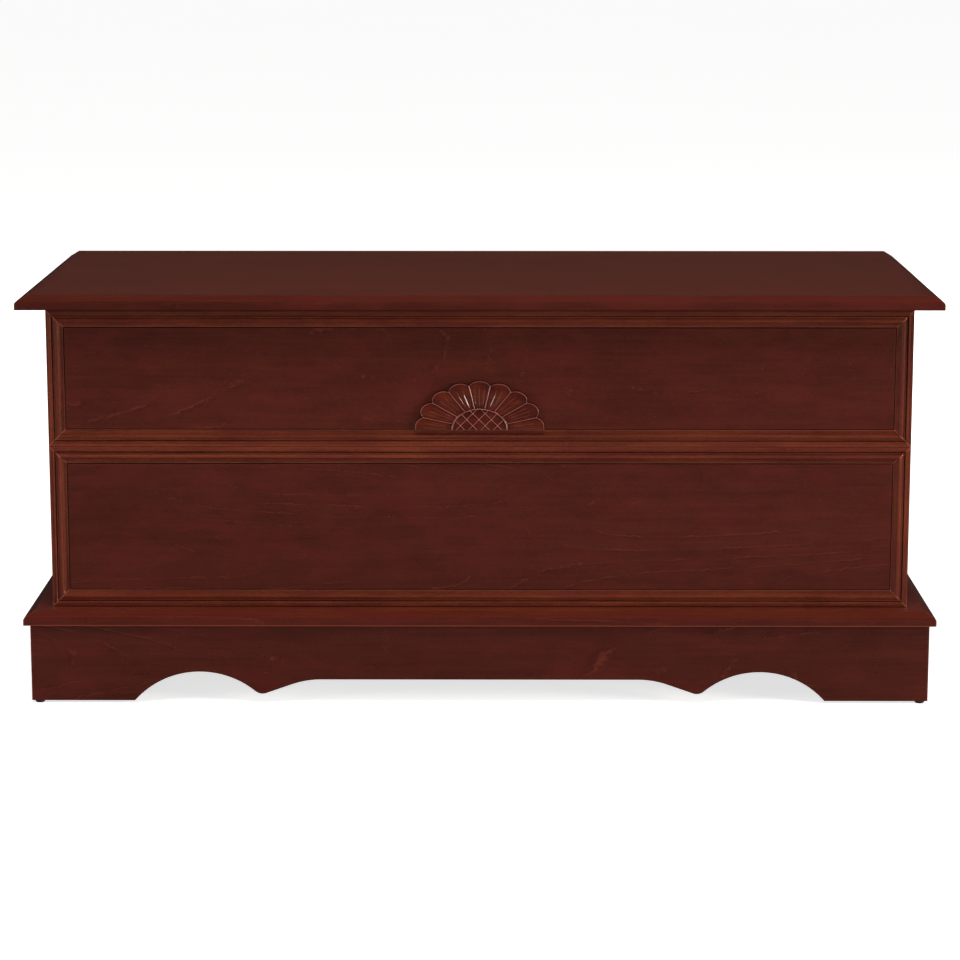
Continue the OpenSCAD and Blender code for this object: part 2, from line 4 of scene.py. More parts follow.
import bmesh
import bpy
import numpy as np
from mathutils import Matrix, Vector


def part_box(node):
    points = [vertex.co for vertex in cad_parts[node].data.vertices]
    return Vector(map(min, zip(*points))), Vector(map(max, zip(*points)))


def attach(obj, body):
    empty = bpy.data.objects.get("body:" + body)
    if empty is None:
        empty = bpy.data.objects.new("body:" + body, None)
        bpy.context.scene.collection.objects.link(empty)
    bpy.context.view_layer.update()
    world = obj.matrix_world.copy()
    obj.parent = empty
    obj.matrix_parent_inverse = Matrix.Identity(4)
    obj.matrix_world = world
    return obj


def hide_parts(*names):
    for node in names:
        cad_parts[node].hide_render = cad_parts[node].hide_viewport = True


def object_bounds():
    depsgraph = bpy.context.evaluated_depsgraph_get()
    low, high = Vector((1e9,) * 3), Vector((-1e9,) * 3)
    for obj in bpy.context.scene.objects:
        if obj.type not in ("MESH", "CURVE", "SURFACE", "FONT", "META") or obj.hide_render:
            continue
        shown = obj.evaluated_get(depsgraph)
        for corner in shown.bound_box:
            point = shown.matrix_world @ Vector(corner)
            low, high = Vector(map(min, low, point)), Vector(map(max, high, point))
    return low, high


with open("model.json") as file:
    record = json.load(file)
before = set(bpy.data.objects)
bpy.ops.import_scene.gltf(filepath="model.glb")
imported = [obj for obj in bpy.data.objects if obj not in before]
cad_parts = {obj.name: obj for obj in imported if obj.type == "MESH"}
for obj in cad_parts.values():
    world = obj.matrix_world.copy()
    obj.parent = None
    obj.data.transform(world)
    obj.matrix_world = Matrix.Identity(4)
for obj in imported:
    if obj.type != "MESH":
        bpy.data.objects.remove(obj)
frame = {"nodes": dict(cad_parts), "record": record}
cad_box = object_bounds()
record = frame["record"]
slots = {part["node"]: part["material_slot"] for part in record["subparts"]}

# ---------------------------------------------------------------- small helpers


def srgb(red, green, blue):
    """Linear colour of an 8-bit screen colour."""
    channels = (red, green, blue)
    return tuple(((c / 255 + 0.055) / 1.055) ** 2.4 if c > 10 else c / 3295 for c in channels) + (1,)


class Shade:
    """One material's node tree, built in short calls."""

    def __init__(self, name):
        self.mat = bpy.data.materials.new(name)
        self.mat.use_nodes = True
        self.tree = self.mat.node_tree
        self.bsdf = self.tree.nodes["Principled BSDF"]
        coordinates = self.tree.nodes.new("ShaderNodeTexCoord")
        self.place = coordinates.outputs["Object"]
        self.normal = coordinates.outputs["Normal"]

    def put(self, socket, value):
        if isinstance(value, bpy.types.NodeSocket):
            self.tree.links.new(value, socket)
        elif value is not None:
            socket.default_value = value

    def node(self, kind, values=(), **settings):
        made = self.tree.nodes.new("ShaderNode" + kind)
        for key, value in settings.items():
            setattr(made, key, value)
        for key, value in (values.items() if isinstance(values, dict) else enumerate(values)):
            self.put(made.inputs[key], value)
        return made

    def math(self, operation, *values):
        return self.node("Math", values, operation=operation).outputs[0]

    def scaled(self, vector, x, y, z):
        return self.node("VectorMath", (vector, (x, y, z)), operation="MULTIPLY").outputs[0]

    def moved(self, vector, offset):
        return self.node("VectorMath", (vector, offset), operation="ADD").outputs[0]

    def shifted(self, vector, distance):
        """vector moved by the same distance along X, Y and Z."""
        return self.moved(vector, self.node("CombineXYZ", (distance,) * 3).outputs[0])

    def part(self, vector, index):
        return self.node("SeparateXYZ", (vector,)).outputs[index]

    def noise(self, vector, scale=1.0, detail=2.0, rough=0.5):
        values = {"Vector": vector, "Scale": scale, "Detail": detail, "Roughness": rough}
        return self.node("TexNoise", values).outputs[0]

    def ramp(self, value, low, high, to_low=0.0, to_high=1.0, smooth=True):
        kind = "SMOOTHSTEP" if smooth else "LINEAR"
        made = self.node("MapRange", (value, low, high, to_low, to_high), interpolation_type=kind)
        return made.outputs[0]

    def mix(self, share, first, second):
        return self.node("Mix", {0: share, 6: first, 7: second}, data_type="RGBA").outputs[2]

    def bump(self, height, strength, distance=0.001, normal=None):
        values = {"Height": height, "Strength": strength, "Distance": distance, "Normal": normal}
        return self.node("Bump", values).outputs[0]

    def gap(self, distance, inside=False, only_local=False, samples=4):
        """1 in the open and towards 0 in a corner; from inside, towards 0 near an outer edge."""
        made = self.node("AmbientOcclusion", {"Distance": distance}, samples=samples, inside=inside,
                         only_local=only_local)
        return made.outputs["AO"]

    def finish(self, color, roughness, normal=None, **constants):
        self.put(self.bsdf.inputs["Base Color"], color)
        self.put(self.bsdf.inputs["Roughness"], roughness)
        self.put(self.bsdf.inputs["Normal"], normal)
        for key, value in constants.items():
            self.bsdf.inputs[key.replace("_", " ")].default_value = value
        return self.mat


def own_place(sh):
    """The place on the piece, moved by a random distance so that no two pieces have the same figure."""
    return sh.shifted(sh.place, sh.node("ObjectInfo").outputs["Random"])


def new_object(name, data):
    obj = bpy.data.objects.new(name, data)
    bpy.context.scene.collection.objects.link(obj)
    return obj


# ---------------------------------------------------------------- wood


GRAIN = {"X": (1, 0, 0), "Y": (0, 1, 0), "Z": (0, 0, 1)}

# the dark and the light tone of each finish
VENEER_TONES = (srgb(57, 19, 12), srgb(81, 32, 20))
# painted light: lighter tones for the lid's top and for faces that look up, as if lit from above
LIT_TOP_TONES = (srgb(92, 34, 22), srgb(118, 52, 34))
LID_EDGE_TONES = (srgb(52, 16, 10), srgb(75, 28, 18))
BASE_TRIM_TONES = (srgb(58, 18, 11), srgb(84, 32, 20))
MOULDING_TONES = (srgb(68, 23, 12), srgb(110, 47, 26))
RED_PATCH = srgb(84, 27, 22)
FIGURE_LINE = srgb(106, 47, 31)
# painted shade for corners, beside growth lines and on the lid trim's lower arris; also the colour of the
# real dark specks
SHADE_AND_SPECK = srgb(30, 9, 6)
# lighter edge colour: partly rubbing, partly a painted highlight; also the painted highlight on the base
# trim's lower arris
EDGE_RUB_AND_HIGHLIGHT = srgb(140, 66, 44)
# painted highlight along the mouldings' crests and sharp edges, with some rubbing
CREST_HIGHLIGHT = srgb(172, 90, 62)

GROWTH_BANDS = 20.0  # growth lines per unit of growth height
GROWTH_STEP = 0.003  # metres over which the slope is measured
LEAST_SLOPE = 40.0  # keeps a line from spreading where the slope is nearly level
# the dark side of a growth line is a painted shadow
LINE_SHADOW_OFFSET = 0.0011  # metres from a growth line to the middle of its dark side
SHAKE = 0.022  # how shaky the lines are
# height of the lower-arris band that takes painted light or shade
ARRIS_HEIGHT = 0.0016

# how much each texture of the wood counts in its tone
TONE_SHARE, CLOUD_SHARE, STREAK_SHARE, GRIT_SHARE, FIBRE_SHARE = 0.55, 0.5, 0.55, 0.7, 0.35


def along(axis, lengthwise, across):
    """Texture scale with one value along the grain and one across it."""
    return [lengthwise if on else across for on in GRAIN[axis]]


def grain_noise(sh, place, axis, lengthwise, across, detail=2.0, rough=0.5):
    """Noise stretched along the grain."""
    return sh.noise(sh.scaled(place, *along(axis, lengthwise, across)), detail=detail, rough=rough)


def centred(sh, value, amount, base):
    """base plus amount times how far value is from its middle."""
    return sh.math("MULTIPLY_ADD", sh.math("SUBTRACT", value, 0.5), amount, base)


def growth_height(sh, place, axis):
    """A slow, shaky height. Its contour lines are the growth lines of rotary-cut veneer."""
    slow = grain_noise(sh, place, axis, 1.5, 7.0, detail=1.0, rough=0.3)
    shake = grain_noise(sh, place, axis, 110, 170, rough=0.6)
    return sh.math("MULTIPLY_ADD", shake, SHAKE, slow)


def figure(sh, place, axis):
    """Signed distance in metres to the nearest growth line, and how clear the line is there."""
    here = growth_height(sh, place, axis)
    side = growth_height(sh, sh.moved(place, along(axis, 0, GROWTH_STEP)), axis)
    ahead = growth_height(sh, sh.moved(place, along(axis, GROWTH_STEP, 0)), axis)
    across = sh.math("SUBTRACT", side, here)
    forward = sh.math("SUBTRACT", ahead, here)
    rise = sh.math("ADD", sh.math("ABSOLUTE", across), sh.math("ABSOLUTE", forward))
    slope = sh.math("MULTIPLY", rise, GROWTH_BANDS / GROWTH_STEP)
    phase = sh.math("SUBTRACT", sh.math("FRACT", sh.math("MULTIPLY", here, GROWTH_BANDS)), 0.5)
    return sh.math("DIVIDE", phase, sh.math("MAXIMUM", slope, LEAST_SLOPE)), sh.ramp(slope, 45, 85)


def with_growth_lines(sh, place, axis, color, lines):
    """Adds a fine light line and a soft painted shadow beside it, clearer in some patches than in others."""
    distance, clear = figure(sh, place, axis)
    patchy = grain_noise(sh, place, axis, 18, 48)
    shown = sh.math("MULTIPLY", clear, sh.ramp(patchy, 0.40, 0.60, 0.12 * lines, lines))
    bright = sh.ramp(sh.math("ABSOLUTE", distance), 0.0001, 0.0007, 1.0, 0.0)
    beside = sh.math("ABSOLUTE", sh.math("SUBTRACT", distance, LINE_SHADOW_OFFSET))
    line_shadow = sh.ramp(beside, 0.0002, 0.0010, 0.5, 0.0)
    # painted shadow along one side of each growth line
    color = sh.mix(sh.math("MULTIPLY", line_shadow, shown), color, SHADE_AND_SPECK)
    return sh.mix(sh.math("MULTIPLY", bright, shown), color, FIGURE_LINE)


def with_arris_light_and_shade(sh, color, facing, bottom, arris_color):
    """Paints light or shade on the lower arris of the pieces that start at height bottom, but not on their
    undersides: a painted highlight on the base trim, a painted shadow on the lid trim.
    """
    height = sh.part(sh.place, 2)
    low_band = sh.ramp(height, bottom, bottom + ARRIS_HEIGHT, 0.8, 0.0)
    return sh.mix(sh.math("MULTIPLY", sh.ramp(facing, -0.8, -0.3), low_band), color, arris_color)


def with_marks(sh, place, axis, color, lines, blotched):
    """Adds red patches, growth lines with a painted shadow beside them, and dark specks."""
    blush = grain_noise(sh, place, axis, 11, 26, detail=5.0, rough=0.7)
    color = sh.mix(sh.ramp(blush, 0.44, 0.62, 0.0, blotched), color, RED_PATCH)
    color = with_growth_lines(sh, place, axis, color, lines)
    speck = grain_noise(sh, place, axis, 150, 380, detail=1.0)
    return sh.mix(sh.ramp(speck, 0.74, 0.80, 0, 0.7), color, SHADE_AND_SPECK)


def wood(name, axis, tones, edge_rub_highlight=EDGE_RUB_AND_HIGHLIGHT, edge_rub_highlight_amount=0.6, edge_rub_highlight_at=(0.22, 0.62), edge_width=0.0016, closed=False,
         shade_width=0.0020, gloss=1.45, contrast=1.0, lines=0.3, combed=0.0, blotched=0.5,
         lit_top_tones=None, arris=None):
    """Stained and lacquered cherry-finished wood.

    Its outer edges are lightened to the colour edge_rub_highlight, partly rubbing and partly a painted
    highlight: edge_rub_highlight_amount is how much, edge_width how far in, and edge_rub_highlight_at the
    two gap values where the lightening is full and where it is gone. Painted shade darkens its corners out
    to shade_width, and a closed piece has none where it meets its neighbours. gloss is the lacquer's index.
    contrast is how far its tones spread, lines how clear its growth lines are, combed a cutter's long
    marks, and blotched its red patches. lit_top_tones are lighter tones painted on faces that look up, as
    if lit from above, and arris is the height of its lower arris and the colour of the highlight or shadow
    painted on it.
    """
    sh = Shade(name)
    place = own_place(sh)
    tone = grain_noise(sh, place, axis, 1.8, 6)
    cloud = grain_noise(sh, place, axis, 16, 44, detail=4.0, rough=0.65)
    streak = grain_noise(sh, place, axis, 7, 210, rough=0.6)
    grit = grain_noise(sh, place, axis, 260, 620, rough=0.7)
    fibre = grain_noise(sh, place, axis, 40, 1500, rough=0.6)
    level = 0.5
    for texture, share in ((tone, TONE_SHARE), (cloud, CLOUD_SHARE), (streak, STREAK_SHARE),
                           (grit, GRIT_SHARE), (fibre, FIBRE_SHARE)):
        level = centred(sh, texture, share * contrast, level)
    if combed:
        level = centred(sh, grain_noise(sh, place, axis, 0.5, 520, detail=1.0), combed, level)
    shade = sh.ramp(level, 0.15, 0.85, smooth=False)
    color = sh.mix(shade, *tones)
    facing = sh.part(sh.normal, 2)
    # painted light: faces that look up take the lighter lit_top_tones
    if lit_top_tones:
        color = sh.mix(sh.ramp(facing, 0.8, 0.98), color, sh.mix(shade, *lit_top_tones))
    color = with_marks(sh, place, axis, color, lines, blotched)
    # painted shade: darker towards corners and crevices, out to shade_width
    corner = sh.gap(shade_width, only_local=closed, samples=6)
    color = sh.mix(sh.ramp(corner, 0.35, 0.88, 0.95, 0.0), color, SHADE_AND_SPECK)
    # outer edges lightened: partly rubbing, partly a painted highlight
    edge = sh.ramp(sh.gap(edge_width, inside=True), *edge_rub_highlight_at, edge_rub_highlight_amount, 0.0)
    color = sh.mix(sh.math("MULTIPLY", edge, sh.ramp(streak, 0.3, 0.6, 0.4, 1.0)), color, edge_rub_highlight)
    # painted highlight or painted shadow on the lower arris, as the piece gives
    if arris:
        color = with_arris_light_and_shade(sh, color, facing, *arris)
    rough = sh.ramp(cloud, 0.25, 0.8, 0.42, 0.52)
    pores = sh.bump(grit, 0.02, 0.0003)
    film = sh.bump(sh.noise(place, 30, detail=1.0), 0.02, 0.001, pores)
    return sh.finish(color, rough, film, Specular_IOR_Level=0.08, Coat_Weight=0.9, Coat_Roughness=0.16,
                     Coat_IOR=gloss)


def lowest(node):
    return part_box(node)[0].z


def veneer(axis):
    return wood("cherry_veneer_" + axis, axis, VENEER_TONES, edge_rub_highlight_amount=0.4, lines=0.45)


def lid_veneer(axis):
    # the lid's top is a lighter, lit copy of the veneer: painted light
    return wood("lid_veneer_" + axis, axis, LIT_TOP_TONES, closed=True, edge_rub_highlight_amount=0.45, contrast=0.6, blotched=0.12)


def moulding(axis):
    # the crests and sharp edges take a strong painted highlight, with some rubbing
    return wood("frame_moulding_" + axis, axis, MOULDING_TONES, edge_rub_highlight=CREST_HIGHLIGHT, edge_rub_highlight_amount=0.9,
                edge_rub_highlight_at=(0.55, 0.95), edge_width=0.0009, shade_width=0.0038, gloss=1.65, contrast=1.2,
                lines=0.2, combed=1.3)


def trim(axis):
    # painted light: lighter tones on faces that look up, and a painted highlight on the lower arris
    return wood("base_trim_" + axis, axis, BASE_TRIM_TONES, edge_rub_highlight_at=(0.35, 0.8), lit_top_tones=LIT_TOP_TONES,
                arris=(lowest("base_moulding_front"), EDGE_RUB_AND_HIGHLIGHT))


def lid_trim(axis):
    # painted light: lighter tones on faces that look up, and a painted shadow on the lower arris
    return wood("lid_trim_" + axis, axis, LID_EDGE_TONES, closed=True, lit_top_tones=LIT_TOP_TONES,
                arris=(lowest("lid_edge_front"), SHADE_AND_SPECK))


CEDAR_BOARD = 0.088
FLAT_UNDER = 0.02  # a lining piece lower than this lies flat
BOARD_SHIFT = 9.0  # metres over which the boards' places in the figure are spread
SALT_SPREAD = 91.0  # keeps the boards of two pieces from having the same numbers


def board_chance(sh, node):
    """A random number per cedar board, from how the lining's V-grooves divide it."""
    low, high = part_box(node)
    across = 2 if high.z - low.z > FLAT_UNDER else 1
    width = high[across] - low[across]
    count = round(width / CEDAR_BOARD)
    at = sh.part(sh.place, across)
    index = sh.math("FLOOR", sh.math("MULTIPLY", sh.math("SUBTRACT", at, low[across]), count / width))
    salt = sh.node("ObjectInfo").outputs["Random"]
    seed = sh.math("MULTIPLY_ADD", salt, SALT_SPREAD, index)
    return sh.node("TexWhiteNoise", {"W": seed}, noise_dimensions="1D").outputs["Value"]


def cedar(node):
    """Bare aromatic cedar: pinkish boards, each its own tone, with red heartwood streaks and small knots."""
    sh = Shade("cedar_" + node)
    axis = grain_axis(node)
    chance = board_chance(sh, node)
    place = sh.shifted(sh.place, sh.math("MULTIPLY", chance, BOARD_SHIFT))
    cells = sh.node("TexVoronoi", {"Vector": sh.scaled(place, *along(axis, 3.4, 8.5)), "Scale": 1.0})
    knot_far = cells.outputs["Distance"]
    swirl = sh.shifted(place, sh.ramp(knot_far, 0.0, 0.35, 0.05, 0.0))
    drift = grain_noise(sh, swirl, axis, 1.2, 14, detail=3.0)
    rings = grain_noise(sh, swirl, axis, 1.6, 120, detail=3.0, rough=0.6)
    fibre = grain_noise(sh, place, axis, 40, 1400, rough=0.6)
    level = centred(sh, fibre, 0.35, centred(sh, rings, 0.9, drift))
    color = sh.mix(sh.ramp(level, 0.2, 0.8), srgb(156, 86, 58), srgb(206, 146, 104))
    color = sh.mix(sh.ramp(chance, 0.0, 1.0, 0.0, 0.4), color, srgb(150, 74, 50))
    heart = grain_noise(sh, swirl, axis, 0.9, 26)
    color = sh.mix(sh.ramp(heart, 0.55, 0.68, 0.0, 0.55), color, srgb(122, 52, 38))
    color = sh.mix(sh.ramp(heart, 0.26, 0.38, 0.5, 0.0), color, srgb(226, 186, 142))
    color = sh.mix(sh.ramp(knot_far, 0.05, 0.10, 0.85, 0.0), color, srgb(84, 38, 24))
    # painted shade: darker towards corners
    color = sh.mix(sh.ramp(sh.gap(0.006), 0.3, 0.92, 0.6, 0.0), color, srgb(66, 32, 20))
    rough = sh.ramp(rings, 0.2, 0.8, 0.52, 0.66)
    return sh.finish(color, rough, sh.bump(fibre, 0.14, 0.0004), Specular_IOR_Level=0.3)


def inner_wood(axis):
    """Plywood and plain boards with a thin brown stain, left matt."""
    sh = Shade("stained_ply_" + axis)
    place = own_place(sh)
    drift = grain_noise(sh, place, axis, 1.6, 8, detail=3.0)
    rings = grain_noise(sh, place, axis, 2.2, 70, detail=3.0, rough=0.6)
    fibre = grain_noise(sh, place, axis, 40, 1300, rough=0.6)
    pores = grain_noise(sh, place, axis, 60, 900, detail=1.0)
    level = centred(sh, fibre, 0.4, centred(sh, rings, 0.7, drift))
    color = sh.mix(sh.ramp(level, 0.2, 0.8), srgb(80, 36, 25), srgb(118, 62, 42))
    color = sh.mix(sh.ramp(pores, 0.66, 0.74, 0.0, 0.6), color, srgb(44, 20, 14))
    distance, clear = figure(sh, place, axis)
    line = sh.ramp(sh.math("ABSOLUTE", distance), 0.0004, 0.0016, 0.35, 0.0)
    color = sh.mix(sh.math("MULTIPLY", line, clear), color, srgb(136, 78, 52))
    # painted shade: darker towards corners
    color = sh.mix(sh.ramp(sh.gap(0.006), 0.3, 0.92, 0.6, 0.0), color, srgb(40, 18, 12))
    rough = sh.ramp(rings, 0.2, 0.8, 0.52, 0.68)
    return sh.finish(color, rough, sh.bump(fibre, 0.14, 0.0004), Specular_IOR_Level=0.25)


# ---------------------------------------------------------------- metal, nylon, rubber


def antique_brass():
    """Brass with a dark patina in its corners and bright rubbed edges."""
    sh = Shade("antique_brass")
    cloud = sh.noise(sh.place, 55, detail=4.0, rough=0.6)
    brush = grain_noise(sh, sh.place, "X", 60, 900)
    edge = sh.ramp(sh.gap(0.0008, inside=True), 0.25, 0.6, 1.0, 0.0)
    color = sh.mix(sh.ramp(cloud, 0.35, 0.7), srgb(158, 118, 62), srgb(206, 164, 96))
    color = sh.mix(sh.ramp(sh.gap(0.003), 0.35, 0.95, 0.8, 0.0), color, srgb(46, 31, 18))
    color = sh.mix(sh.math("MULTIPLY", edge, 0.6), color, srgb(240, 208, 140))
    rough = sh.math("MULTIPLY_ADD", brush, 0.16, sh.ramp(cloud, 0.3, 0.8, 0.34, 0.48))
    return sh.finish(color, rough, sh.bump(brush, 0.08, 0.0003), Metallic=0.85)


def moulded(name, dark, light, roughness):
    """Fine-textured moulded nylon or rubber."""
    sh = Shade(name)
    grain = sh.noise(sh.place, 1600)
    cloud = sh.noise(sh.place, 90, detail=3.0)
    color = sh.mix(sh.ramp(cloud, 0.3, 0.7), dark, light)
    scuff = sh.ramp(sh.gap(0.001, inside=True), 0.2, 0.6, 0.5, 0.0)
    color = sh.mix(scuff, color, tuple(min(1, c * 2.5) for c in light[:3]) + (1,))
    rough = sh.ramp(grain, 0.3, 0.7, roughness - 0.06, roughness + 0.08)
    return sh.finish(color, rough, sh.bump(grain, 0.2, 0.0003))


# ---------------------------------------------------------------- CAD nodes that stay


WELD_UNDER = 0.00001
EASED_SEGMENTS = 2
EASED_OVER = math.radians(28)  # edges sharper than this are eased
NORMAL_WEIGHT = 80


def dress(node, material, round_edge):
    """Gives a CAD node its material and eased edges; its own mesh stays as packed."""
    obj = frame["nodes"][node]
    obj.data.materials.clear()
    obj.data.materials.append(material)
    obj.data.polygons.foreach_set("use_smooth", [True] * len(obj.data.polygons))
    weld = obj.modifiers.new("weld", "WELD")
    weld.merge_threshold = WELD_UNDER
    bevel = obj.modifiers.new("eased", "BEVEL")
    bevel.width = round_edge
    bevel.segments = EASED_SEGMENTS
    bevel.limit_method = "ANGLE"
    bevel.angle_limit = EASED_OVER
    bevel.miter_outer = "MITER_ARC"
    normals = obj.modifiers.new("normals", "WEIGHTED_NORMAL")
    normals.keep_sharp = False
    normals.weight = NORMAL_WEIGHT


def grain_axis(node):
    """The grain runs along the longest side of the piece."""
    low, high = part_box(node)
    size = high - low
    return "XYZ"[max(range(3), key=lambda i: size[i])]


made_materials = {}


def material_for(maker, *key):
    """The material that maker makes from key, made once."""
    if (maker, key) not in made_materials:
        made_materials[(maker, key)] = maker(*key)
    return made_materials[(maker, key)]


def black_nylon():
    return moulded("black_nylon", srgb(20, 17, 16), srgb(38, 33, 31), 0.5)


def bumper_rubber():
    return moulded("bumper_rubber", srgb(58, 40, 30), srgb(84, 60, 46), 0.62)


def finish_of(node):
    """The material of a CAD node, by its slot, its body and its grain."""
    slot, axis = slots[node], grain_axis(node)
    on_lid = node in record["behaviour"]["bodies"]["lid"]
    if slot == "cherry_veneer":
        return material_for(lid_veneer if on_lid else veneer, axis)
    if slot == "cherry_moulding":
        return material_for(moulding if "frame" in node else lid_trim if on_lid else trim, axis)
    if slot == "cedar":
        return cedar(node)
    if slot == "inner_wood":
        return material_for(inner_wood, axis)
    if slot == "antique_brass":
        return material_for(antique_brass)
    return material_for(black_nylon if slot == "black_nylon" else bumper_rubber)


# radius of the eased edges, by slot
EASED = {"cherry_veneer": 0.0008, "cherry_moulding": 0.0004, "cedar": 0.0006, "inner_wood": 0.001,
         "antique_brass": 0.0003, "black_nylon": 0.0006, "bumper_rubber": 0.0005}

for name in frame["nodes"]:
    dress(name, finish_of(name), EASED[slots[name]])


# ---------------------------------------------------------------- new meshes


def piece(name, points, faces, body, slot, material, *stands_for):
    """A new mesh piece in the row frame, on its body, with the CAD nodes that it stands for hidden; slot is
    not used.
    """
    mesh = bpy.data.meshes.new(name)
    mesh.from_pydata([tuple(p) for p in points], [], [tuple(int(i) for i in f) for f in faces])
    mesh.validate()
    mesh.polygons.foreach_set("use_smooth", [True] * len(mesh.polygons))
    mesh.materials.append(material)
    obj = new_object(name, mesh)
    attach(obj, body)
    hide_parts(*stands_for)
    return obj


# ---------------------------------------------------------------- carved sunburst


PETAL_PITCH = 21.2  # degrees
SIDE_PETALS = 4  # to each side of the middle one
PETAL_DIP = 0.09  # how far the outline dips between petals, as a share of the reach
LOBE_POWER = 2.3
LEAST_SINE = 0.2

# places of the carved cuts across a petal, as shares of its half width
TWO_CUTS = (-0.3, 0.3)
THREE_CUTS = (-0.5, 0.0, 0.5)  # on every third petal
SWELL_REACH = 0.98  # share of the half width
LIP_SHOWN = 0.85  # how far a cut's lips get the rubbing and painted highlight, next to the dividers and the rim

# heights over the board, widths and insets of the carving, in metres
GROUND = 0.003
PETAL_HEIGHT, PETAL_SWELL, PETAL_ARCH = 0.0034, 0.0016, 0.0006
CUT_DEPTH, CUT_WIDTH, CUT_START, CUT_END = 0.0014, 0.0012, 0.0035, 0.0045
LIP_RISE, LIP_WIDTH = 0.0004, 0.0008
LIP_START, LIP_START_FADE, LIP_END_FADE = 0.004, 0.003, 0.006
DIVIDER_RISE, DIVIDER_WIDTH = 0.0030, 0.0012
RIM_RISE, RIM_WIDTH, RIM_INSET = 0.0028, 0.0010, 0.0008
RIM_FOOT = GROUND * 0.75
RIM_ROUND = 0.0007
CORE = 0.0355
CORE_BLEND = 0.0008
DOME_HEIGHT, DOME_RISE, HUB_HEIGHT = 0.0040, 0.0010, 0.005
RING_FOOT, RING_RISE, RING_WIDTH, RING_INSET = 0.0036, 0.0032, 0.0015, 0.0014
LATTICE_PITCH, LATTICE_RISE, LATTICE_WIDTH = 0.0154, 0.0010, 0.0010
LATTICE_SHIFT, LATTICE_SPLIT = 0.0009, 0.0028

COLUMNS = 420
ROWS = 170
WIDE = COLUMNS + 1


def hump(distance, width):
    """1 on the line and 0 at width to either side, with a round top."""
    share = np.clip(np.abs(distance) / width, 0, 1)
    return np.cos(share * np.pi / 2) ** 1.5


def gouge(radius, off_line, start, end, width):
    """A V cut that tapers to both ends, deepest towards its inner end."""
    run = np.clip((radius - start) / (end - start), 0, 1)
    taper = np.sin(np.pi * run ** 0.6) ** 0.8
    return np.clip(1 - np.abs(off_line) / (width * (0.35 + 0.65 * taper)), 0, 1) * taper


def petal_relief(radius, angle, edge):
    """Height of the petals, with their cuts, dividers and rim, and their high lines."""
    petal = np.round(angle / PETAL_PITCH)
    off = angle - petal * PETAL_PITCH
    half = PETAL_PITCH / 2
    to_rim = edge - radius
    swell = PETAL_SWELL * np.sqrt(np.clip(1 - (np.abs(off) / half * SWELL_REACH) ** 2, 0, 1))
    arch = PETAL_ARCH * np.sin(np.clip((radius - CORE) / (edge - CORE), 0, 1) * np.pi)
    from_core = np.clip((radius - CORE - LIP_START) / LIP_START_FADE, 0, 1)
    inside = from_core * np.clip((to_rim - LIP_END_FADE) / LIP_END_FADE, 0, 1)
    cuts, lips = np.zeros_like(radius), np.zeros_like(radius)
    for line in TWO_CUTS + THREE_CUTS:
        carved = (np.abs(petal) % 3 == 0) == (line in THREE_CUTS)
        off_line = radius * np.radians(off - line * half)
        cuts += np.where(carved, gouge(radius, off_line, CORE + CUT_START, edge - CUT_END, CUT_WIDTH), 0)
        lips += np.where(carved, hump(off_line, LIP_WIDTH) * inside, 0)
    divider = hump(radius * np.radians(half - np.abs(off)), DIVIDER_WIDTH)
    rim = hump(to_rim - RIM_INSET, RIM_WIDTH)
    lobe = PETAL_HEIGHT + swell + arch - CUT_DEPTH * cuts
    height = np.maximum(lobe, GROUND + DIVIDER_RISE * divider) + LIP_RISE * lips
    height = np.maximum(height, GROUND + RIM_RISE * rim)
    return height, np.maximum(np.maximum(divider, rim), LIP_SHOWN * lips)


def centre_relief(radius, angle, squash):
    """Height of the domed lattice centre and the ring round it, and their high lines."""
    x = radius * np.sin(np.radians(angle))
    z = radius * np.cos(np.radians(angle)) * squash
    lattice = np.zeros_like(radius)
    for way in (-1, 1):
        line = (x + way * z + LATTICE_SHIFT + LATTICE_SPLIT * way) / LATTICE_PITCH
        off_line = (line - np.round(line)) * LATTICE_PITCH / math.sqrt(2)
        lattice = np.maximum(lattice, hump(off_line, LATTICE_WIDTH))
    ring = hump(radius - (CORE - RING_INSET), RING_WIDTH)
    dome = DOME_HEIGHT + DOME_RISE * (1 - (radius / CORE) ** 2) + LATTICE_RISE * lattice
    return np.maximum(dome, RING_FOOT + RING_RISE * ring), np.maximum(lattice, ring)


def sunburst_relief(radius, angle, edge, squash):
    """Height of the carving over the board, and how far each point lies on a high line that gets rubbing and
    a painted highlight.
    """
    petals, petal_lines = petal_relief(radius, angle, edge)
    centre, centre_lines = centre_relief(radius, angle, squash)
    blend = np.clip((radius - CORE + CORE_BLEND / 2) / CORE_BLEND, 0, 1)
    height = centre * (1 - blend) + petals * blend
    drop = np.clip((edge - radius) / RIM_ROUND, 0, 1)
    height = np.where(drop < 1, RIM_FOOT + (height - RIM_FOOT) * np.sqrt(drop), height)
    return height, np.where(radius < CORE, centre_lines, petal_lines)


def sunburst_grid(reach):
    """Radius, angle and outline radius of each point of the front, in rows from the hub outwards.

    The outline is lobed, and stays between the two sides of the CAD piece.
    """
    turn = np.linspace(-90, 90, WIDE)
    off = turn - PETAL_PITCH * np.round(turn / PETAL_PITCH)
    off = np.where(np.abs(turn) > SIDE_PETALS * PETAL_PITCH, 0, off)
    outline = reach * (1 - PETAL_DIP * np.abs(2 * off / PETAL_PITCH) ** LOBE_POWER)
    outline = np.minimum(outline, reach / np.maximum(np.abs(np.sin(np.radians(turn))), LEAST_SINE))
    radius = np.linspace(0, 1, ROWS + 1)[1:, None] * outline[None, :]
    return radius, np.broadcast_to(turn, radius.shape), np.broadcast_to(outline, radius.shape)


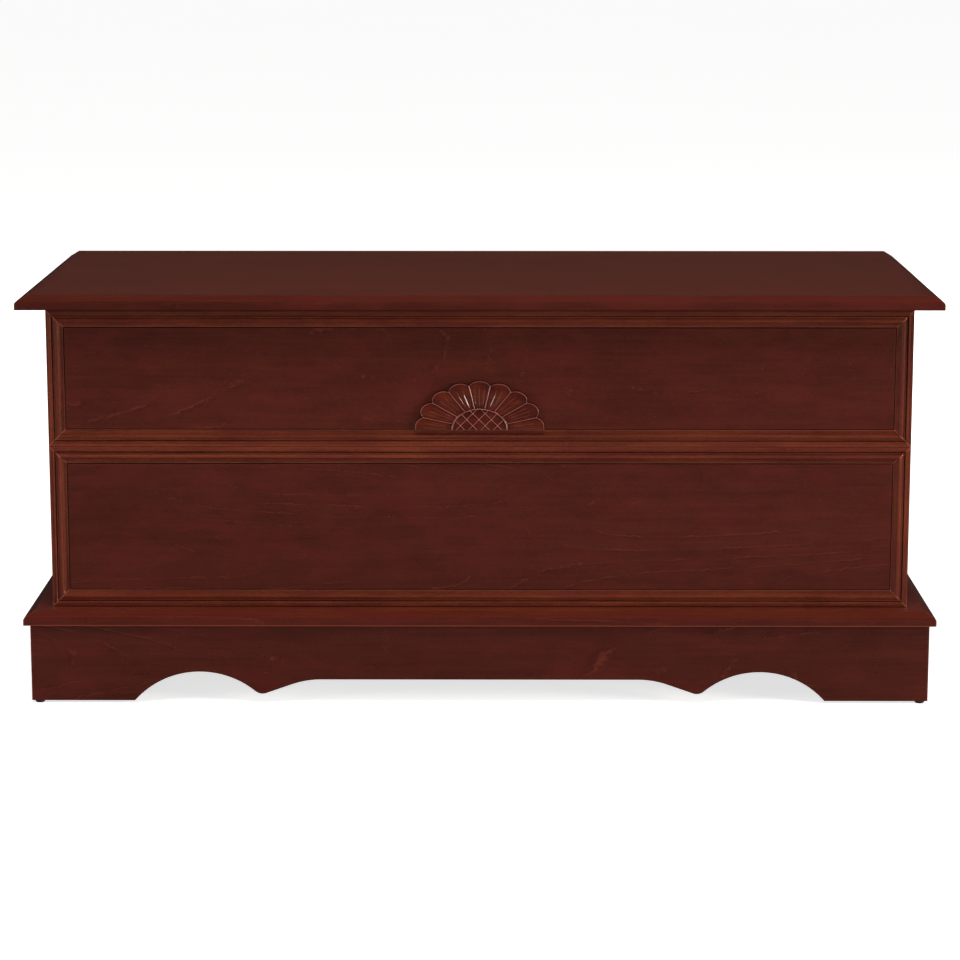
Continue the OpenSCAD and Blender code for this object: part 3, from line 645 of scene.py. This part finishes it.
def sunburst_mesh():
    """Points and faces of the closed carving, and for each point of its front how much rubbing and painted
    highlight it gets.
    """
    low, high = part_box("sunburst_carving")
    board = high.y
    reach = (high.x - low.x) / 2
    squash = (high.z - low.z) / reach
    radius, angle, edge = sunburst_grid(reach)
    height, rubbed = sunburst_relief(radius, angle, edge, squash)
    centre_x = (low.x + high.x) / 2
    x = centre_x + radius * np.sin(np.radians(angle))
    z = low.z + squash * radius * np.cos(np.radians(angle))
    front = np.stack([x, board - height, z], -1)
    hub = np.array([[centre_x, board - HUB_HEIGHT, low.z]])
    behind = np.concatenate([front[-1], front[:-1, 0], front[:-1, -1], hub])
    behind[:, 1] = board
    points = np.concatenate([front.reshape(-1, 3), hub, behind])
    return points, sunburst_faces(), rubbed.reshape(-1)


def sunburst_faces():
    """Faces of the front, its hub and rim, the flat base and the back."""
    at = lambda row, col: row * WIDE + col
    last = ROWS - 1
    hub = ROWS * WIDE
    rim = hub + 1
    left_base = rim + WIDE
    right_base = left_base + last
    back_hub = right_base + last
    columns = range(COLUMNS)
    faces = [(at(r, c), at(r, c + 1), at(r + 1, c + 1), at(r + 1, c)) for r in range(last) for c in columns]
    faces += [(hub, at(0, c + 1), at(0, c)) for c in columns]
    faces += [(at(last, c), at(last, c + 1), rim + c + 1, rim + c) for c in columns]
    front_left = [hub] + [at(r, 0) for r in range(ROWS)]
    front_right = [hub] + [at(r, COLUMNS) for r in range(ROWS)]
    left = [back_hub, *range(left_base, right_base), rim]
    right = [back_hub, *range(right_base, back_hub), rim + COLUMNS]
    faces += [(front_left[r], front_left[r + 1], left[r + 1], left[r]) for r in range(ROWS)]
    faces += [(front_right[r + 1], front_right[r], right[r], right[r + 1]) for r in range(ROWS)]
    faces.append((*left, *range(rim + 1, rim + COLUMNS), *right[:0:-1]))
    return faces


def make_sunburst(material):
    points, faces, rubbed = sunburst_mesh()
    obj = piece("sunburst_carved", points, faces, "case", "cherry_moulding", material, "sunburst_carving")
    outward = bmesh.new()
    outward.from_mesh(obj.data)
    bmesh.ops.recalc_face_normals(outward, faces=outward.faces)
    outward.to_mesh(obj.data)
    outward.free()
    values = np.zeros(len(obj.data.vertices), np.float32)
    values[:len(rubbed)] = rubbed
    # the attribute holds rubbing and painted highlight along the high lines
    obj.data.attributes.new("rubbed", "FLOAT", "POINT").data.foreach_set("value", values)


def carved_wood():
    """The carving's cherry, with painted shade in its cuts and corners, and pale along its high lines from
    rubbing and a painted highlight.
    """
    sh = Shade("carved_cherry")
    cloud = grain_noise(sh, sh.place, "X", 24, 40, detail=3.0, rough=0.6)
    fibre = grain_noise(sh, sh.place, "X", 30, 900, detail=3.0, rough=0.6)
    level = centred(sh, fibre, 0.5, cloud)
    color = sh.mix(sh.ramp(level, 0.25, 0.75), srgb(62, 18, 10), srgb(90, 33, 17))
    # painted shade: darker in the cuts and corners
    color = sh.mix(sh.ramp(sh.gap(0.003), 0.3, 0.95, 0.8, 0.0), color, SHADE_AND_SPECK)
    # rubbing and painted highlight along the high lines
    high_line = sh.node("Attribute", attribute_name="rubbed").outputs["Fac"]
    color = sh.mix(sh.math("MULTIPLY", sh.ramp(high_line, 0.5, 1.0), 0.62), color, srgb(176, 108, 98))
    rough = sh.ramp(cloud, 0.25, 0.8, 0.4, 0.5)
    return sh.finish(color, rough, sh.bump(fibre, 0.06, 0.0004), Specular_IOR_Level=0.08, Coat_Weight=1.0,
                     Coat_Roughness=0.12, Coat_IOR=1.5)


make_sunburst(carved_wood())

# ---------------------------------------------------------------- screws


SAME_POINT = 0.000001
SCREW_SIDES = 64
HEAD_RINGS = 18

# shares of the head's radius
HEAD_DOME, RECESS, SHANK, CREST = 0.06, 0.56, 0.36, 0.5

# shares of the recess's size
ARM_WIDTH, WALL_SLOPE, RECESS_DEPTH = 0.26, 0.09, 0.62
ARM_TAPER, ARM_RISE, ARM_END = 0.35, 0.5, 0.25

# metres from the head's face
THREAD_PITCH = 0.0014
THREAD_STEPS = 5  # rings for each turn of the thread
THREAD_START, THREAD_FADE, FIRST_RING = 0.0022, 0.001, 0.0024
POINT_LENGTH, POINT_LEFT = 0.003, 0.0001
RIDGE_HALF = 0.28  # share of the pitch


def shells(node):
    """Corner points of each separate solid of a CAD node, in order along X, Y and Z."""
    mesh = bmesh.new()
    mesh.from_mesh(frame["nodes"][node].data)
    bmesh.ops.remove_doubles(mesh, verts=mesh.verts, dist=SAME_POINT)
    left = set(mesh.verts)
    found = []
    while left:
        reached = [left.pop()]
        for vert in reached:
            near = [edge.other_vert(vert) for edge in vert.link_edges]
            near = [other for other in near if other in left]
            left.difference_update(near)
            reached += near
        found.append(np.array([vert.co for vert in reached]))
    mesh.free()
    return sorted(found, key=lambda points: tuple(points.mean(0).round(4)))


def screw_pose(points):
    """Middle of the head's face, the direction to the tip, the length and the head's radius."""
    low, high = points.min(0), points.max(0)
    axis = int(np.argmax(high - low))
    middle = (low + high) / 2
    across = np.delete(points - middle, axis, 1)
    reach = np.hypot(*across.T)
    head = points[np.argmax(reach), axis]
    way = 1.0 if head < middle[axis] else -1.0
    start = middle.copy()
    start[axis] = low[axis] if way > 0 else high[axis]
    direction = np.zeros(3)
    direction[axis] = way
    return start, direction, (high - low)[axis], reach.max()


def cross_recess(x, y, size):
    """Depth of a cross recess that narrows and rises towards the ends of its arms."""
    depth = np.zeros_like(x)
    for reach, side in ((np.abs(x), np.abs(y)), (np.abs(y), np.abs(x))):
        out = np.clip(reach / size, 0, 1)
        wall = np.clip((size * ARM_WIDTH * (1 - ARM_TAPER * out) - side) / (size * WALL_SLOPE), 0, 1)
        depth = np.maximum(depth, wall * np.clip((1 - out) / ARM_END, 0, 1) * (1 - ARM_RISE * out))
    return depth * size * RECESS_DEPTH


def screw_rows(length, head):
    """Rings of a countersunk wood screw from its head's face to its tip, as (x, y, depth)."""
    turn = np.linspace(0, 2 * math.pi, SCREW_SIDES, endpoint=False)
    rings = []

    def round_ring(radius, depth):
        rings.append((radius * np.cos(turn), radius * np.sin(turn), np.full(SCREW_SIDES, depth)))

    for share in np.linspace(0, 1, HEAD_RINGS + 1)[1:]:
        x, y = head * share * np.cos(turn), head * share * np.sin(turn)
        rings.append((x, y, HEAD_DOME * head * share ** 4 + cross_recess(x, y, head * RECESS)))
    shank, crest = head * SHANK, head * CREST
    for depth, radius in ((0.0004, head), (0.0007, head * 0.94), (0.0019, shank * 1.1), (0.0021, shank)):
        round_ring(radius, depth)
    for depth in np.arange(FIRST_RING, length - POINT_LEFT, THREAD_PITCH / THREAD_STEPS):
        phase = (depth / THREAD_PITCH - turn / (2 * math.pi)) % 1
        ridge = np.clip(1 - np.abs(phase - 0.5) / RIDGE_HALF, 0, 1)
        grown = min(1, (depth - THREAD_START) / THREAD_FADE)
        point = min(1, (length - depth) / POINT_LENGTH)
        round_ring((shank + (crest - shank) * ridge * grown) * point, depth)
    return np.array([np.stack(ring, -1) for ring in rings])


def one_screw(points, spin):
    """Points and faces of a screw in the place of the plain one with these points, turned by spin."""
    start, direction, length, head = screw_pose(points)
    rows = screw_rows(length, head)
    side = np.roll(direction, 1)
    other = np.cross(direction, side)
    first = math.cos(spin) * side + math.sin(spin) * other
    second = math.cos(spin) * other - math.sin(spin) * side
    middle = np.array([0, 0, cross_recess(*np.zeros((2, 1)), head * RECESS)[0]])
    local = np.concatenate([[middle], rows.reshape(-1, 3), [[0, 0, length]]])
    placed = start + local @ np.stack([first, second, direction])
    at = lambda ring, k: 1 + ring * SCREW_SIDES + k % SCREW_SIDES
    sides = range(SCREW_SIDES)
    last = len(rows) - 1
    faces = [(0, at(0, k), at(0, k + 1)) for k in sides]
    faces += [(at(r, k), at(r + 1, k), at(r + 1, k + 1), at(r, k + 1)) for r in range(last) for k in sides]
    faces += [(len(placed) - 1, at(last, k + 1), at(last, k)) for k in sides]
    return placed, faces


def make_screws(node, body, spins):
    """One cross-head screw in the place of each plain one of a CAD node."""
    points, faces, count = [], [], 0
    for shell in shells(node):
        placed, made = one_screw(shell, spins.uniform(0, math.pi))
        faces += [tuple(i + count for i in face) for face in made]
        points.append(placed)
        count += len(placed)
    return piece(node + "_cut", np.concatenate(points), faces, body, "antique_brass",
                 material_for(antique_brass), node)


screw_spins = np.random.default_rng(11)
for screws, screw_body in (("hinge_case_screws", "case"), ("hinge_lid_screws", "lid"),
                           ("stay_case_screws", "case"), ("stay_lid_screws", "lid")):
    make_screws(screws, screw_body, screw_spins)

# ---------------------------------------------------------------- floor, light and camera


WHITE = (1, 1, 1, 1)
FLOOR_HALF = 40.0
FLOOR_GLOW = 0.72  # seen by the camera only, so that the floor meets the background
FLOOR_HIDDEN = 0.96  # how far the floor drops out of the lacquer's reflections
SEEN_WORLD, LIGHTING_WORLD, REFLECTED_WORLD = 0.95, 0.26, 0.022  # the background's strengths


def make_floor():
    """A wide pale floor, which the lacquer hardly reflects."""
    mesh = bpy.data.meshes.new("studio_floor")
    corners = [(x * FLOOR_HALF, y * FLOOR_HALF, 0) for x, y in ((-1, -1), (1, -1), (1, 1), (-1, 1))]
    mesh.from_pydata(corners, [], [(0, 1, 2, 3)])
    floor = new_object("studio_floor", mesh)
    sh = Shade("studio_floor")
    haze = sh.noise(sh.place, 0.7)
    path = sh.node("LightPath")
    color = sh.mix(haze, srgb(243, 243, 242), srgb(247, 247, 246))
    hidden = sh.math("MULTIPLY", path.outputs["Is Glossy Ray"], FLOOR_HIDDEN)
    color = sh.mix(hidden, color, srgb(0, 0, 0))
    glow = sh.math("MULTIPLY", path.outputs["Is Camera Ray"], FLOOR_GLOW)
    sh.put(sh.bsdf.inputs["Emission Strength"], glow)
    mesh.materials.append(sh.finish(color, 0.9, Specular_IOR_Level=0.0, Emission_Color=WHITE))


def make_world():
    """Pale to the camera, a soft fill to matt surfaces, and dim in the lacquer's reflections."""
    world = bpy.data.worlds.new("studio")
    bpy.context.scene.world = world
    world.use_nodes = True
    tree = world.node_tree
    sky = tree.nodes["Background"]
    sky.inputs["Color"].default_value = WHITE
    path = tree.nodes.new("ShaderNodeLightPath")
    lit = tree.nodes.new("ShaderNodeMix")
    lit.inputs[2].default_value = LIGHTING_WORLD
    lit.inputs[3].default_value = SEEN_WORLD
    tree.links.new(path.outputs["Is Camera Ray"], lit.inputs[0])
    dim = tree.nodes.new("ShaderNodeMix")
    dim.inputs[3].default_value = REFLECTED_WORLD
    tree.links.new(path.outputs["Is Glossy Ray"], dim.inputs[0])
    tree.links.new(lit.outputs[0], dim.inputs[2])
    tree.links.new(dim.outputs[0], sky.inputs["Strength"])


def area_light(name, place, target, size, watts, color):
    """A rectangular light at place that faces target."""
    data = bpy.data.lights.new(name, "AREA")
    data.shape = "RECTANGLE"
    data.size, data.size_y = size
    data.energy = watts
    data.color = color
    light = new_object(name, data)
    light.location = place
    light.rotation_euler = (Vector(target) - Vector(place)).to_track_quat("-Z", "Y").to_euler()
    return light


SIDE_LIGHT = (2.0, 2.7)
WARM, COOL, NEUTRAL = (1.0, 0.95, 0.87), (0.92, 0.94, 1.0), (1.0, 0.99, 0.97)


def make_lights():
    """Two low side lights for the front, and a top and a back light that leave no reflection."""
    middle = (cad_box[0] + cad_box[1]) / 2
    area_light("key", (6.4, -3.2, 1.2), middle, SIDE_LIGHT, 370, WARM)
    area_light("fill", (-6.4, -3.2, 1.0), middle, SIDE_LIGHT, 165, COOL)
    top = area_light("top", (0.0, -1.6, 3.2), middle, (1.8, 1.2), 65, NEUTRAL)
    back = area_light("back", (1.2, 3.9, 1.3), middle, (2.6, 1.6), 85, NEUTRAL)
    for soft in (top, back):
        soft.visible_glossy = False


# where the photo's camera stood and how it was turned, solved from the lid's edges and the upright sides
CAMERA_PLACE = (0.0174, -3.906, 0.9885)
CAMERA_DOWN = 10.85  # degrees
CAMERA_TURN = 0.0046  # radians
LENS, SENSOR = 112.5, 36.0
FAR_CLIP = 200


def make_camera():
    data = bpy.data.cameras.new("camera")
    data.lens = LENS
    data.sensor_width = SENSOR
    data.clip_end = FAR_CLIP
    camera = new_object("camera", data)
    camera.location = CAMERA_PLACE
    camera.rotation_euler = (math.radians(90 - CAMERA_DOWN), 0, CAMERA_TURN)
    bpy.context.scene.camera = camera


make_floor()
make_world()
make_lights()
make_camera()
bpy.context.scene.view_settings.view_transform = "Standard"
